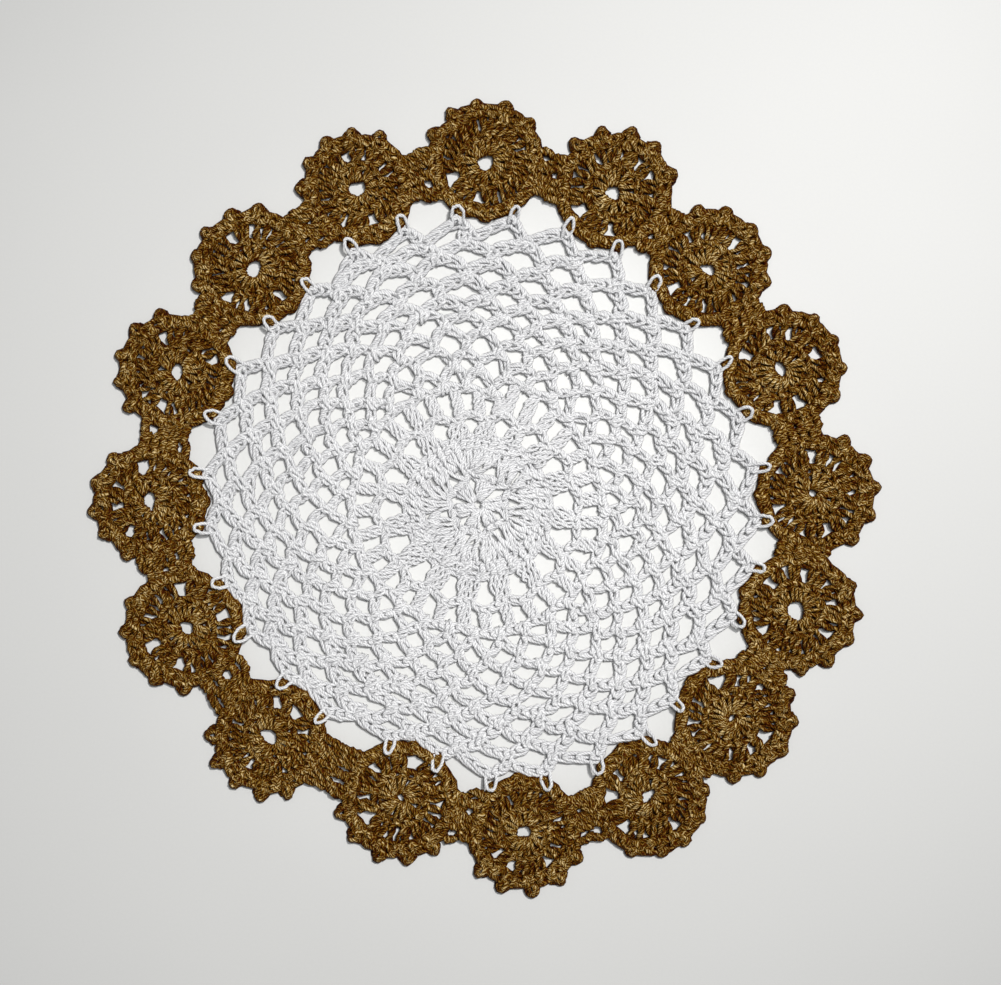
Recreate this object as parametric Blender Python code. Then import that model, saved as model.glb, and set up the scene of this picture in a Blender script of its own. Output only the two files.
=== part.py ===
"""Lace doily lying flat: an openwork net in fine white thread, held in a ring of sixteen spoked
wheels worked separately in a thicker gold-brown yarn. Every piece is one flat solid that rests
on z = 0. Lengths in the tables and in the named sizes are millimetres, angles are degrees
counted anticlockwise from +X, and the solids are made in metres."""

import random
from math import atan2, cos, degrees, exp, floor, hypot, pi, radians, sin

import bpy

MM = 0.001

# Sizes that everything below is worked out from
net_thick = 2.0
wheel_thick = 2.6
piece_gap = 0.3

wheel_inner = 21.6
inner_valley = 21.2
knob_pitch = 27.7
knob_half = 6.2
neck_half = 22.0
neck_ease = 3.0

loop_spread = 5.6
loop_half = 1.9
loop_height = 6.0
edge_wave = 1.0

centre_shift = (-2.2, -2.2)
inner_turn = 2.4
sway = 0.09
pull_power = 1.6

# The net is worked as a spiral: between these two places in the ring of wheels each round climbs
# to the height of the next, and its openings fall back by a quarter of a place.
climb_start = 3.0
climb_end = 6.0
climb_slip = 0.25
last_place = 20.2

# The wheels in order round the net. angle and reach place the wheel's middle from the net's
# middle, tip is the radius over its outer knobs and valley the radius between them, turn is how
# far its middle outer knob stands off straight outward, and a hub that the yarn closes has no size.
wheel_columns = ("angle", "reach", "tip", "valley", "turn", "hub_long", "hub_short", "hub_turn")
wheel_rows = (
    (1.1, 123.9, 26.0, 22.9, 4.0, 0.0, 0.0, 0),
    (23.8, 121.8, 25.8, 22.8, 7.0, 5.5, 3.8, 134),
    (46.1, 120.7, 25.6, 22.8, -3.0, 5.8, 3.2, 155),
    (67.4, 125.7, 26.4, 22.6, 6.0, 5.7, 4.0, 159),
    (89.9, 127.3, 25.3, 22.2, 7.0, 5.6, 4.9, 0),
    (112.2, 126.8, 24.2, 20.6, 11.0, 6.1, 5.3, 20),
    (135.0, 123.3, 25.3, 22.6, 6.0, 6.2, 4.8, 52),
    (157.4, 125.6, 25.4, 22.1, 4.0, 6.3, 4.3, 74),
    (180.3, 126.2, 24.5, 21.3, 8.0, 6.8, 3.4, 103),
    (203.1, 122.4, 26.2, 23.4, 8.0, 5.2, 3.0, 135),
    (227.7, 120.7, 25.4, 21.0, 6.0, 6.3, 3.8, 139),
    (254.2, 116.8, 26.4, 22.8, -6.0, 0.0, 0.0, 0),
    (276.8, 126.1, 25.4, 21.6, 0.0, 4.8, 3.6, 8),
    (298.8, 127.5, 24.5, 22.1, 12.0, 5.4, 3.2, 53),
    (318.7, 124.0, 26.0, 22.8, 7.0, 0.0, 0.0, 0),
    (340.5, 124.3, 25.8, 22.7, -12.0, 5.9, 5.2, 100),
)
wheels = [dict(zip(wheel_columns, row)) for row in wheel_rows]
wheel_count = len(wheels)

# The net's rounds of openings from the middle out. start counts in wheels, so 0.25 puts an
# opening a quarter of the way from one wheel to the next. The first round is a closed ring of 16
# between the petals, and the others run on into each other with two openings for each wheel.
round_columns = ("radius", "start", "width", "height", "shape")
round_rows = (
    (33.4, 0.05, 7.6, 7.0, "oval"),
    (43.0, 0.25, 4.5, 5.6, "oval"),
    (51.7, 0.00, 4.5, 3.4, "bowl"),
    (57.7, 0.25, 6.3, 4.5, "bowl"),
    (63.9, 0.00, 6.8, 4.3, "bowl"),
    (70.0, 0.25, 7.5, 4.3, "bowl"),
    (76.0, 0.00, 8.5, 4.5, "bowl"),
    (82.5, 0.25, 9.4, 4.9, "bowl"),
    (89.6, 0.00, 10.8, 5.8, "bowl"),
    (96.0, 0.25, 8.6, 5.2, "kite"),
    (101.5, 0.00, 8.6, 4.4, "kite"),
)
rounds = [dict(zip(round_columns, row)) for row in round_rows]
least_cut = 4.0

# The first round sags inward where the spiral starts over it, and the spiral starts small there
sag_place = 3.8
sag_depth = 5.2
sag_reach = 2.0
spiral_start = {"radius": 36.5, "width": 4.0, "height": 4.2}

# How far hand work has drifted from the even net: the sum of along * (x / 100)**power_x *
# (y / 100)**power_y over the rows, in each direction
drift_columns = ("power_x", "power_y", "along_x", "along_y")
drift_rows = (
    (0, 0, -0.23, 0.44),
    (0, 1, -2.18, 2.07),
    (0, 2, -0.99, -3.13),
    (0, 3, 1.39, -1.95),
    (0, 4, 1.21, 2.06),
    (1, 0, -0.37, 0.75),
    (1, 1, -12.87, -3.23),
    (1, 2, 0.48, -0.07),
    (1, 3, 13.02, 2.87),
    (2, 0, -5.31, -1.07),
    (2, 1, 4.64, -1.71),
    (2, 2, 8.49, 1.60),
    (3, 0, 0.75, -1.63),
    (3, 1, 13.33, 2.05),
    (4, 0, 4.86, 0.45),
)
drifts = [dict(zip(drift_columns, row)) for row in drift_rows]

# Outlines of the openings as shares of width and height, with the far side up
opening_shapes = {
    "oval": [(0.5 * cos(pi * k / 4), 0.5 * sin(pi * k / 4)) for k in range(8)],
    "bowl": [(-0.4, 0.46), (-0.5, 0.08), (-0.15, -0.5), (0.15, -0.5), (0.5, 0.08), (0.4, 0.46)],
    "kite": [(-0.1, 0.5), (-0.5, -0.05), (-0.14, -0.5), (0.14, -0.5), (0.5, -0.05), (0.1, 0.5)],
}


def clear_scene():
    for thing in list(bpy.data.objects):
        bpy.data.objects.remove(thing, do_unlink=True)


def polar(radius, angle):
    return radius * cos(radians(angle)), radius * sin(radians(angle))


def apart(angle, other):
    """The turn from other to angle, between -180 and 180."""
    return (angle - other + 180.0) % 360.0 - 180.0


def wheel_turn(place):
    """Direction of the given place in the ring of wheels, where 2.5 is halfway from wheel 2 to 3."""
    first = floor(place)
    lap, index = divmod(first, wheel_count)
    here = wheels[index]["angle"]
    step = (wheels[(index + 1) % wheel_count]["angle"] - here) % 360.0
    return 360.0 * lap + here + step * (place - first)


def place_of(angle):
    """The place in the ring of wheels that lies in the given direction."""
    for index, wheel in enumerate(wheels):
        step = (wheels[(index + 1) % wheel_count]["angle"] - wheel["angle"]) % 360.0
        past = (angle - wheel["angle"]) % 360.0
        if past < step:
            return index + past / step
    return 0.0


def rim_radius(place):
    """Radius of the net's last round there: it follows how near the wheels stand."""
    index = floor(place)
    share = place - index
    share = share * share * (3.0 - 2.0 * share)
    here = wheels[index % wheel_count]["reach"]
    beyond = wheels[(index + 1) % wheel_count]["reach"]
    return here + (beyond - here) * share - wheel_inner


rim_mean = sum(wheel["reach"] for wheel in wheels) / wheel_count - wheel_inner


def net_point(place, radius):
    """A point of the net: pulled out of round towards the rim, even near the middle, and drifted."""
    place += sway * sin(2.0 * pi * (place - 1.0) / wheel_count)
    pull = min(1.0, radius / rim_mean) ** pull_power
    even = 360.0 / wheel_count * place + inner_turn
    angle = even + (wheel_turn(place) - even) * pull
    x, y = polar(radius * (1.0 + (rim_radius(place) / rim_mean - 1.0) * pull), angle)
    x, y = x + centre_shift[0] * (1.0 - pull), y + centre_shift[1] * (1.0 - pull)
    shares = [(x / 100.0) ** row["power_x"] * (y / 100.0) ** row["power_y"] for row in drifts]
    return (x + sum(share * row["along_x"] for share, row in zip(shares, drifts)),
            y + sum(share * row["along_y"] for share, row in zip(shares, drifts)))


def loop_angles():
    """Directions of the joining loops, two for each wheel."""
    return [wheel["angle"] + side * loop_spread for wheel in wheels for side in (-1, 1)]


def loop_rise(angle, radius, grow):
    """How far a joining loop stands out of the net's edge there, with its sides grown outward."""
    off = min(abs(apart(angle, middle)) for middle in loop_angles())
    off = radians(off) * radius
    share = (loop_half * 1.2 + grow - off) / (loop_half * 0.4)
    return (loop_height + grow) * max(0.0, min(1.0, share))


def edge_radius(angle, grow=0.0):
    """Radius of the net's outline, grown outward where a neighbour has to keep clear of it."""
    place = place_of(angle)
    radius = rim_radius(place) - edge_wave * cos(4.0 * pi * place)
    return radius + max(grow, loop_rise(angle, radius, grow))


def net_outline():
    """Points round the net's edge: the loops' corners and three points between two loops."""
    corners = []
    loops = sorted(angle % 360.0 for angle in loop_angles())
    half = degrees(loop_half / rim_mean)
    for index, middle in enumerate(loops):
        ahead = (loops[(index + 1) % len(loops)] - middle) % 360.0
        corners += [middle + half * share for share in (-1.25, -0.75, 0.0, 0.75, 1.25)]
        corners += [middle + ahead * share for share in (0.33, 0.5, 0.67)]
    return [polar(edge_radius(angle), angle) for angle in corners]


def climb(place):
    """Share of the step to the next round that the spiral has climbed by this place."""
    share = max(0.0, min(1.0, (place - climb_start) / (climb_end - climb_start)))
    return share * share * (3.0 - 2.0 * share)


def between(inner, outer, share):
    """The sizes of an opening on its way from one round's sizes to the next one's."""
    return {key: inner[key] + (outer[key] - inner[key]) * share for key in ("radius", "width", "height")}


def first_round():
    """Places and sizes of the openings between the petals."""
    row = rounds[0]
    for index in range(wheel_count):
        place = row["start"] + index
        sag = sag_depth * exp(-(((place - sag_place) / sag_reach) ** 2))
        yield place, dict(row, radius=row["radius"] - sag)


def slipped(evenly, fallen, turn):
    """The place of an opening that would stand at evenly if the spiral did not climb."""
    place = evenly
    for _ in range(30):
        place = evenly + climb_slip * (climb(place - turn) - fallen)
    return place


def spiral_rounds():
    """Places and sizes of all later openings: where the climb starts, then one turn a round."""
    for step in range(6):
        place = slipped(climb_end - 0.25 - 0.5 * step, 1.0, 0.0)
        yield place, dict(rounds[1], **between(spiral_start, rounds[1], climb(place)))
    for inner, outer in zip(rounds[1:], rounds[2:]):
        last = last_place if outer is rounds[-1] else climb_end + wheel_count + 0.01
        for step in range(2 * wheel_count):
            place = slipped(climb_end + (inner["start"] or 0.5) + 0.5 * step, 0.0, wheel_count)
            if place < last:
                yield place, dict(inner, **between(inner, outer, climb(place - wheel_count)))


def openings():
    """Outlines of the net's openings, each a little off size as in hand work."""
    chance = random.Random(7)
    found = []
    for place, row in list(first_round()) + list(spiral_rounds()):
        width = row["width"] * chance.uniform(0.93, 1.05)
        height = row["height"] * chance.uniform(0.92, 1.05)
        lean = chance.uniform(-0.35, 0.35)
        if row["height"] < least_cut:
            continue
        per_place = 2.0 * pi * row["radius"] / wheel_count
        found.append([
            net_point(place + (across * width + lean * up) / per_place, row["radius"] + up * height)
            for across, up in opening_shapes[row["shape"]]
        ])
    return found


def wheel_middle(wheel):
    return polar(wheel["reach"], wheel["angle"])


def neighbours(index):
    """Direction and half distance from this wheel to the wheel on each side of it."""
    x, y = wheel_middle(wheels[index])
    found = []
    for step in (-1, 1):
        other_x, other_y = wheel_middle(wheels[(index + step) % wheel_count])
        found.append((degrees(atan2(other_y - y, other_x - x)), hypot(other_x - x, other_y - y) / 2))
    return found


def knobs_of(wheel):
    """(direction, share of full height) of a wheel's free knobs: five outer, three by the net."""
    chance = random.Random(wheel["angle"])
    outer = wheel["angle"] + wheel["turn"]
    inner = wheel["angle"] + 180.0
    found = [(outer + knob_pitch * step + chance.uniform(-2.0, 2.0), chance.uniform(0.75, 1.05))
             for step in range(-2, 3)]
    return found + [(inner + knob_pitch * step, 1.0) for step in (-1, 0, 1)]


def free_radius(wheel, angle):
    """The wheel's outline before anything trims it: low between the knobs."""
    inward = (1.0 - cos(radians(apart(angle, wheel["angle"])))) / 2.0
    valley = wheel["valley"] + (inner_valley - wheel["valley"]) * inward
    off, height = min((abs(apart(angle, knob)), height) for knob, height in knobs_of(wheel))
    share = height * (1.0 - min(1.0, off / knob_half) ** 2.5)
    return valley + (wheel["tip"] - valley) * share


def clear_of_net(wheel, angle, radius):
    """The longest reach in that direction, up to radius, that stays off the net's edge."""
    x, y = wheel_middle(wheel)
    across, up = polar(1.0, angle)

    def is_clear(reach):
        far_x, far_y = x + across * reach, y + up * reach
        return hypot(far_x, far_y) > edge_radius(degrees(atan2(far_y, far_x)), piece_gap)

    inside, step = 0.6 * radius, 0.4
    while inside + step < radius and is_clear(inside + step):
        inside += step
    for _ in range(8):
        step /= 2.0
        if inside + step < radius and is_clear(inside + step):
            inside += step
    return inside


def wheel_radius(index, angle):
    """The wheel's finished outline: joined broadly to both neighbours and clear of the net."""
    wheel = wheels[index]
    radius = free_radius(wheel, angle)
    for toward, half in neighbours(index):
        off = abs(apart(angle, toward))
        if off < 60.0:
            limit = (half - piece_gap / 2.0) / cos(radians(off))
            radius = limit if off <= neck_half + 0.01 else min(limit, radius)
    if abs(apart(angle, wheel["angle"])) > 115.0:
        radius = clear_of_net(wheel, angle, radius)
    return radius


def wheel_directions(index):
    """Directions of the outline's points: the knobs' corners, the valleys and the necks' ends."""
    wheel = wheels[index]
    found = []
    for knob, _ in knobs_of(wheel):
        found += [knob + knob_half * share for share in (-1.0, -0.75, -0.35, 0.35, 0.75, 1.0)]
    found += [wheel["angle"] + wheel["turn"] + knob_pitch * step for step in (-1.5, -0.5, 0.5, 1.5)]
    found += [wheel["angle"] + 180.0 + knob_pitch * step for step in (-0.7, -0.5, -0.3, 0.3, 0.5, 0.7)]
    necks = [toward for toward, _ in neighbours(index)]
    room = neck_half + neck_ease + 1.0
    found = [angle for angle in found if min(abs(apart(angle, neck)) for neck in necks) > room]
    for neck in necks:
        found += [neck + side * (neck_half + ease) for side in (-1, 1) for ease in (0.0, neck_ease)]
    return sorted(apart(angle, wheel["angle"]) for angle in found)


def wheel_outline(index):
    wheel = wheels[index]
    x, y = wheel_middle(wheel)
    points = []
    for turn in wheel_directions(index):
        angle = wheel["angle"] + turn
        across, up = polar(wheel_radius(index, angle), angle)
        points.append((x + across, y + up))
    return points


def hub_opening(wheel):
    """The opening at a wheel's middle, an oval turned as the yarn pulls it."""
    x, y = wheel_middle(wheel)
    along, sideways = polar(1.0, wheel["hub_turn"])
    points = []
    for across, up in opening_shapes["oval"]:
        far, near = across * wheel["hub_long"], up * wheel["hub_short"]
        points.append((x + far * along - near * sideways, y + far * sideways + near * along))
    return points


def sheet(name, outlines, thick, shift, material, home):
    """A flat solid of that thickness on z = 0, from an outer outline and any openings in it."""
    curve = bpy.data.curves.new(name, "CURVE")
    curve.dimensions = "2D"
    curve.fill_mode = "BOTH"
    curve.extrude = thick / 2.0 * MM
    for outline in outlines:
        spline = curve.splines.new("POLY")
        spline.points.add(len(outline) - 1)
        for point, (x, y) in zip(spline.points, outline):
            point.co = ((x - shift[0]) * MM, (y - shift[1]) * MM, 0.0, 1.0)
        spline.use_cyclic_u = True
    curve.materials.append(material)
    solid = bpy.data.objects.new(name, curve)
    solid.location.z = thick / 2.0 * MM
    home.objects.link(solid)


def yarn(name, color, roughness):
    material = bpy.data.materials.new(name)
    material.use_nodes = True
    shader = material.node_tree.nodes["Principled BSDF"]
    shader.inputs["Base Color"].default_value = (*color, 1.0)
    shader.inputs["Roughness"].default_value = roughness
    shader.inputs["Metallic"].default_value = 0.0
    return material


def middle_of(outlines):
    """Middle of the box round all the outlines, which becomes the origin."""
    spans = []
    for axis in (0, 1):
        values = [point[axis] for outline in outlines for point in outline]
        spans.append((min(values) + max(values)) / 2.0)
    return spans


clear_scene()
doily = bpy.data.collections.new("lace_doily")
bpy.context.scene.collection.children.link(doily)

edge = net_outline()
rings = [wheel_outline(index) for index in range(wheel_count)]
origin = middle_of([edge] + rings)

sheet("net", [edge] + openings(), net_thick, origin, yarn("white_thread", (0.80, 0.80, 0.81), 0.9), doily)
for index, wheel in enumerate(wheels):
    outlines = [rings[index]]
    if wheel["hub_long"] > 0.0:
        outlines.append(hub_opening(wheel))
    name = f"wheel_{index + 1:02d}"
    sheet(name, outlines, wheel_thick, origin, yarn(f"{name}_yarn", (0.19, 0.10, 0.025), 0.85), doily)
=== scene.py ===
import math

import bpy
import numpy as np
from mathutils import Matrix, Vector


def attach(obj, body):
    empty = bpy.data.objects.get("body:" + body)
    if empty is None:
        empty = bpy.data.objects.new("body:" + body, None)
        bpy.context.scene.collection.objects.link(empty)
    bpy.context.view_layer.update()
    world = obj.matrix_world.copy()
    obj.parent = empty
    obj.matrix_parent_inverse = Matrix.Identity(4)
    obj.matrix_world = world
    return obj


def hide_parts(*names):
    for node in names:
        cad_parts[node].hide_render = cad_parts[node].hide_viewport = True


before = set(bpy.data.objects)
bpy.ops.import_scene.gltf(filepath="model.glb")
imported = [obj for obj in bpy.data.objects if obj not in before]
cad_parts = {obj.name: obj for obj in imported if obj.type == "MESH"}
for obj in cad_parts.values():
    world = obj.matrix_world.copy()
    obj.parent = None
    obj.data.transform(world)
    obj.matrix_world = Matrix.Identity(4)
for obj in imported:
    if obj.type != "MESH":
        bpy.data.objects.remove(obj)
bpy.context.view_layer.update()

# All shapes are worked out in millimetres from the net's middle, and makePiece turns them into
# metres in the frame. A place counts wheels round the ring: 2.5 is halfway from wheel 2 to wheel 3.
tau = 2.0 * math.pi
metres = 0.001
tableGap = 0.02
netMiddle = np.array([0.228, -1.084, 0.0])

whiteThread = {"thick": 1.52, "slot": "white_thread"}
brownYarn = {"thick": 1.72, "slot": "brown_yarn"}

# How unevenly the strands are laid, spun, ended and twisted together
handWork = {"wobble": 0.115, "swell": 0.11, "endThick": 0.55, "patternLength": 900.0,
            "phaseOff": 0.7, "twists": (0.65, 1.35)}

# The slow wander of hand work: five waves about as long as size, which move the work by amount
waveCount = 5
waveSizes = (0.7, 1.5)
netWander = {"size": 12.0, "amount": 0.55, "seed": 5}
flowerWander = {"size": 12.0, "amount": 0.4, "seed": 6}
rimWander = {"size": 18.0, "amount": 0.35, "seed": 8}

# For each wheel: direction and distance of its middle, radius to the tips of its knobs and to the
# valleys between them, turn of its knobs, and its hub hole, which is closed where it has no size
wheelColumns = ("angle", "reach", "tip", "valley", "turn", "hubLong", "hubShort", "hubTurn")
wheelRows = (
    (1.1, 123.9, 26.0, 22.9, 4.0, 0.0, 0.0, 0),
    (23.8, 121.8, 25.8, 22.8, 7.0, 5.5, 3.8, 134),
    (46.1, 120.7, 25.6, 22.8, -3.0, 5.8, 3.2, 155),
    (67.4, 125.7, 26.4, 22.6, 6.0, 5.7, 4.0, 159),
    (89.9, 127.3, 25.3, 22.2, 7.0, 5.6, 4.9, 0),
    (112.2, 126.8, 24.2, 20.6, 11.0, 6.1, 5.3, 20),
    (135.0, 123.3, 25.3, 22.6, 6.0, 6.2, 4.8, 52),
    (157.4, 125.6, 25.4, 22.1, 4.0, 6.3, 4.3, 74),
    (180.3, 126.2, 24.5, 21.3, 8.0, 6.8, 3.4, 103),
    (203.1, 122.4, 26.2, 23.4, 8.0, 5.2, 3.0, 135),
    (227.7, 120.7, 25.4, 21.0, 6.0, 6.3, 3.8, 139),
    (254.2, 116.8, 26.4, 22.8, -6.0, 0.0, 0.0, 0),
    (276.8, 126.1, 25.4, 21.6, 0.0, 4.8, 3.6, 8),
    (298.8, 127.5, 24.5, 22.1, 12.0, 5.4, 3.2, 53),
    (318.7, 124.0, 26.0, 22.8, 7.0, 0.0, 0.0, 0),
    (340.5, 124.3, 25.8, 22.7, -12.0, 5.9, 5.2, 100),
)
wheels = [dict(zip(wheelColumns, row)) for row in wheelRows]
wheelCount = len(wheels)
wheelReach = np.array([wheel["reach"] for wheel in wheels])

# The net: place and turn of its inner rounds, the spiral's climb and openings, and the sag
# under its start
netForm = {
    "wheelInner": 21.6, "shift": (-2.2, -2.2), "innerTurn": 2.4, "sway": 0.09, "swayStart": 1.0,
    "pull": 1.6, "climbStart": 3.0, "climbEnd": 6.0, "slip": 0.25, "clusterEnd": 3.1,
    "firstOpenings": 6, "firstGap": 0.25, "pitch": 0.5, "lapMargin": 0.01, "lastPlace": 20.9,
    "sagPlace": 3.8, "sagDepth": 5.2, "sagReach": 2.0,
}
rimMean = float(wheelReach.mean()) - netForm["wheelInner"]

# The drift of the mesh to one side, a sum of powers of x and y counted in driftUnit
driftUnit = 100.0
driftColumns = ("powerX", "powerY", "alongX", "alongY")
driftRows = (
    (0, 0, -0.23, 0.44), (0, 1, -2.18, 2.07), (0, 2, -0.99, -3.13), (0, 3, 1.39, -1.95),
    (0, 4, 1.21, 2.06), (1, 0, -0.37, 0.75), (1, 1, -12.87, -3.23), (1, 2, 0.48, -0.07),
    (1, 3, 13.02, 2.87), (2, 0, -5.31, -1.07), (2, 1, 4.64, -1.71), (2, 2, 8.49, 1.60),
    (3, 0, 0.75, -1.63), (3, 1, 13.33, 2.05), (4, 0, 4.86, 0.45),
)
drifts = [dict(zip(driftColumns, row)) for row in driftRows]

# The spiral's rounds: place of the first opening, radius of the chain over them and its links
roundColumns = ("start", "crest", "links")
roundRows = (
    (0.25, 47.4, 3), (0.00, 55.0, 3), (0.25, 61.7, 4), (0.00, 67.9, 4), (0.25, 74.1, 4),
    (0.00, 80.3, 5), (0.25, 87.2, 5), (0.00, 94.3, 6), (0.25, 98.6, 6), (0.00, 101.0, 6),
)
rounds = [dict(zip(roundColumns, row)) for row in roundRows]


def smooth(share):
    # 0 below 0, 1 above 1, and 3 s^2 - 2 s^3 between
    share = np.clip(share, 0.0, 1.0)
    return share * share * (3.0 - 2.0 * share)


def polar(radius, degrees):
    # a point at that radius and direction
    turn = np.radians(degrees)
    return np.stack([radius * np.cos(turn), radius * np.sin(turn)], axis=-1)


def unit(vectors):
    return vectors / np.maximum(np.linalg.norm(vectors, axis=-1, keepdims=True), 1e-9)


def either(chance, amount, count):
    # random numbers between minus and plus amount
    return chance.uniform(-amount, amount, count)


def quarterTurn(vectors):
    # (x, y) becomes (-y, x), a quarter turn to the left
    return np.stack([-vectors[..., 1], vectors[..., 0]], axis=-1)


def turned(out, aside, degrees):
    # the points that lie so far out in a direction and so far to the left of it
    lean = np.radians(degrees)[:, None]
    x = out * np.cos(lean) - aside * np.sin(lean)
    y = out * np.sin(lean) + aside * np.cos(lean)
    return np.stack([x, y], axis=-1)


def raised(spots, heights):
    # flat points, given their heights
    heights = np.broadcast_to(heights, spots.shape[:-1])
    return np.concatenate([spots, heights[..., None]], axis=-1)


lapPlaces = np.arange(-1, wheelCount + 2)
lapAngles = np.array([wheels[k % wheelCount]["angle"] + 360.0 * (k // wheelCount) for k in lapPlaces])


def wheelTurn(place):
    # direction of a place, straight from one wheel's direction to the next
    lap = np.floor(place / wheelCount)
    return np.interp(place - lap * wheelCount, lapPlaces, lapAngles) + 360.0 * lap


def rimRadius(place):
    # how far the net reaches there: smooth from one wheel's reach to the next, less the wheel
    first = np.floor(place).astype(int)
    share = smooth(place - first)
    here, beyond = wheelReach[first % wheelCount], wheelReach[(first + 1) % wheelCount]
    return here + (beyond - here) * share - netForm["wheelInner"]


def netPoint(place, radius):
    # even turns and true circles in the middle, the wheels' turns and reach at the rim, then
    # the drift of hand work: the sum of along (x / 100)^powerX (y / 100)^powerY
    place = place + netForm["sway"] * np.sin(tau * (place - netForm["swayStart"]) / wheelCount)
    pull = np.minimum(1.0, radius / rimMean) ** netForm["pull"]
    even = 360.0 / wheelCount * place + netForm["innerTurn"]
    spot = polar(radius * (1.0 + (rimRadius(place) / rimMean - 1.0) * pull),
                 even + (wheelTurn(place) - even) * pull)
    spot = spot + np.array(netForm["shift"]) * (1.0 - pull)[..., None]
    x, y = spot[..., 0] / driftUnit, spot[..., 1] / driftUnit
    for drift in drifts:
        share = x ** drift["powerX"] * y ** drift["powerY"]
        spot = spot + share[..., None] * np.array([drift["alongX"], drift["alongY"]])
    return spot


def climb(place):
    # share of the step to the next round that the spiral has climbed by this place
    reach = netForm["climbEnd"] - netForm["climbStart"]
    return smooth((place - netForm["climbStart"]) / reach)


def sagShare(place):
    # how much of the sag under the start of the spiral a place has, as a bell curve
    off = (place - netForm["sagPlace"] + wheelCount / 2) % wheelCount - wheelCount / 2
    return np.exp(-(off / netForm["sagReach"]) ** 2)


def sag(place):
    # how far the first round sags inward there
    return netForm["sagDepth"] * sagShare(place)


def uneven(spots, size, amount, seed):
    # slow wander of hand work: sine waves in random directions, summed for x and for y
    chance = np.random.default_rng(seed)
    way, phase = chance.uniform(0, tau, waveCount), chance.uniform(0, tau, (2, waveCount))
    waves = np.stack([np.cos(way), np.sin(way)]) * (tau / size * chance.uniform(*waveSizes, waveCount))
    swing = spots[..., :2] @ waves
    moved = np.array(spots, dtype=float)
    for axis in (0, 1):
        moved[..., axis] += amount / math.sqrt(waveCount) * np.sin(swing + phase[axis]).sum(axis=-1)
    return moved


def tubes(paths, thick, closed=False, reference=(0.0, 0.0, 1.0), seed=0, sides=5):
    # a round profile carried along each path: point + thick / 2 (cos a across + sin a over),
    # with across = ahead x reference and over = across x ahead
    paths = np.asarray(paths, dtype=float)
    strands, stations = paths.shape[:2]
    chance = np.random.default_rng(seed)
    paths = paths + chance.normal(0.0, handWork["wobble"], paths.shape)
    if closed:
        ahead = unit(np.roll(paths, -1, axis=1) - np.roll(paths, 1, axis=1))
        steps = np.linalg.norm(np.roll(paths, -1, axis=1) - paths, axis=2)
    else:
        ahead = unit(np.gradient(paths, axis=1))
        steps = np.linalg.norm(np.diff(paths, axis=1), axis=2)
    across = unit(np.cross(ahead, np.broadcast_to(reference, paths.shape)))
    over = np.cross(across, ahead)
    spin = np.arange(sides) * tau / sides
    half = thick / 2.0 * (1.0 + either(chance, handWork["swell"], (strands, stations)))
    if not closed:
        half[:, [0, -1]] *= handWork["endThick"]
    ring = np.cos(spin)[:, None] * across[:, :, None] + np.sin(spin)[:, None] * over[:, :, None]
    points = paths[:, :, None] + half[:, :, None, None] * ring

    spans = stations if closed else stations - 1
    s, i, j = np.meshgrid(np.arange(strands), np.arange(spans), np.arange(sides), indexing="ij")

    def corner(station, side):
        return (s * stations + (i + station) % stations) * sides + (j + side) % sides

    faces = np.stack([corner(0, 0), corner(1, 0), corner(1, 1), corner(0, 1)], axis=-1)
    start = chance.uniform(0, handWork["patternLength"], strands)
    length = np.concatenate([np.zeros((strands, 1)), np.cumsum(steps, axis=1)], axis=1)
    length = start[:, None] + length
    u = np.stack([length[s, i], length[s, i + 1], length[s, i + 1], length[s, i]], axis=-1)
    v = np.stack([j, j, j + 1, j + 1], axis=-1) / sides
    uv = np.stack([u, v], axis=-1)
    caps, capUv = np.zeros((0, sides), int), np.zeros((0, sides, 2))
    if not closed:
        first = np.arange(strands)[:, None] * stations * sides + np.arange(sides)
        last = first[:, ::-1] + (stations - 1) * sides
        caps = np.concatenate([first, last])
        ends = np.concatenate([length[:, :1], length[:, -1:]])
        capUv = np.stack([np.repeat(ends, sides, axis=1), np.tile(spin / tau, (len(ends), 1))], axis=-1)
    return {"points": points.reshape(-1, 3), "faces": faces.reshape(-1, 4),
            "uv": uv.reshape(-1, 4, 2), "caps": caps, "capUv": capUv}


# How the links of every chain lean and differ, and the strand that runs behind them
linkForm = {
    "reachOff": 0.07, "halfOff": 0.2, "liftOff": 0.12, "heightOff": 0.12, "lean": 0.4, "ahead": 0.06,
    "backStations": 4, "backPhase": 2.4, "backWave": 0.2, "backWavePhase": 0.8, "backSeed": 500,
}


def leftOf(track, link):
    # the direction to the left of a track there
    return quarterTurn(unit(track(link + linkForm["ahead"]) - track(link - linkForm["ahead"])))


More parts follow.
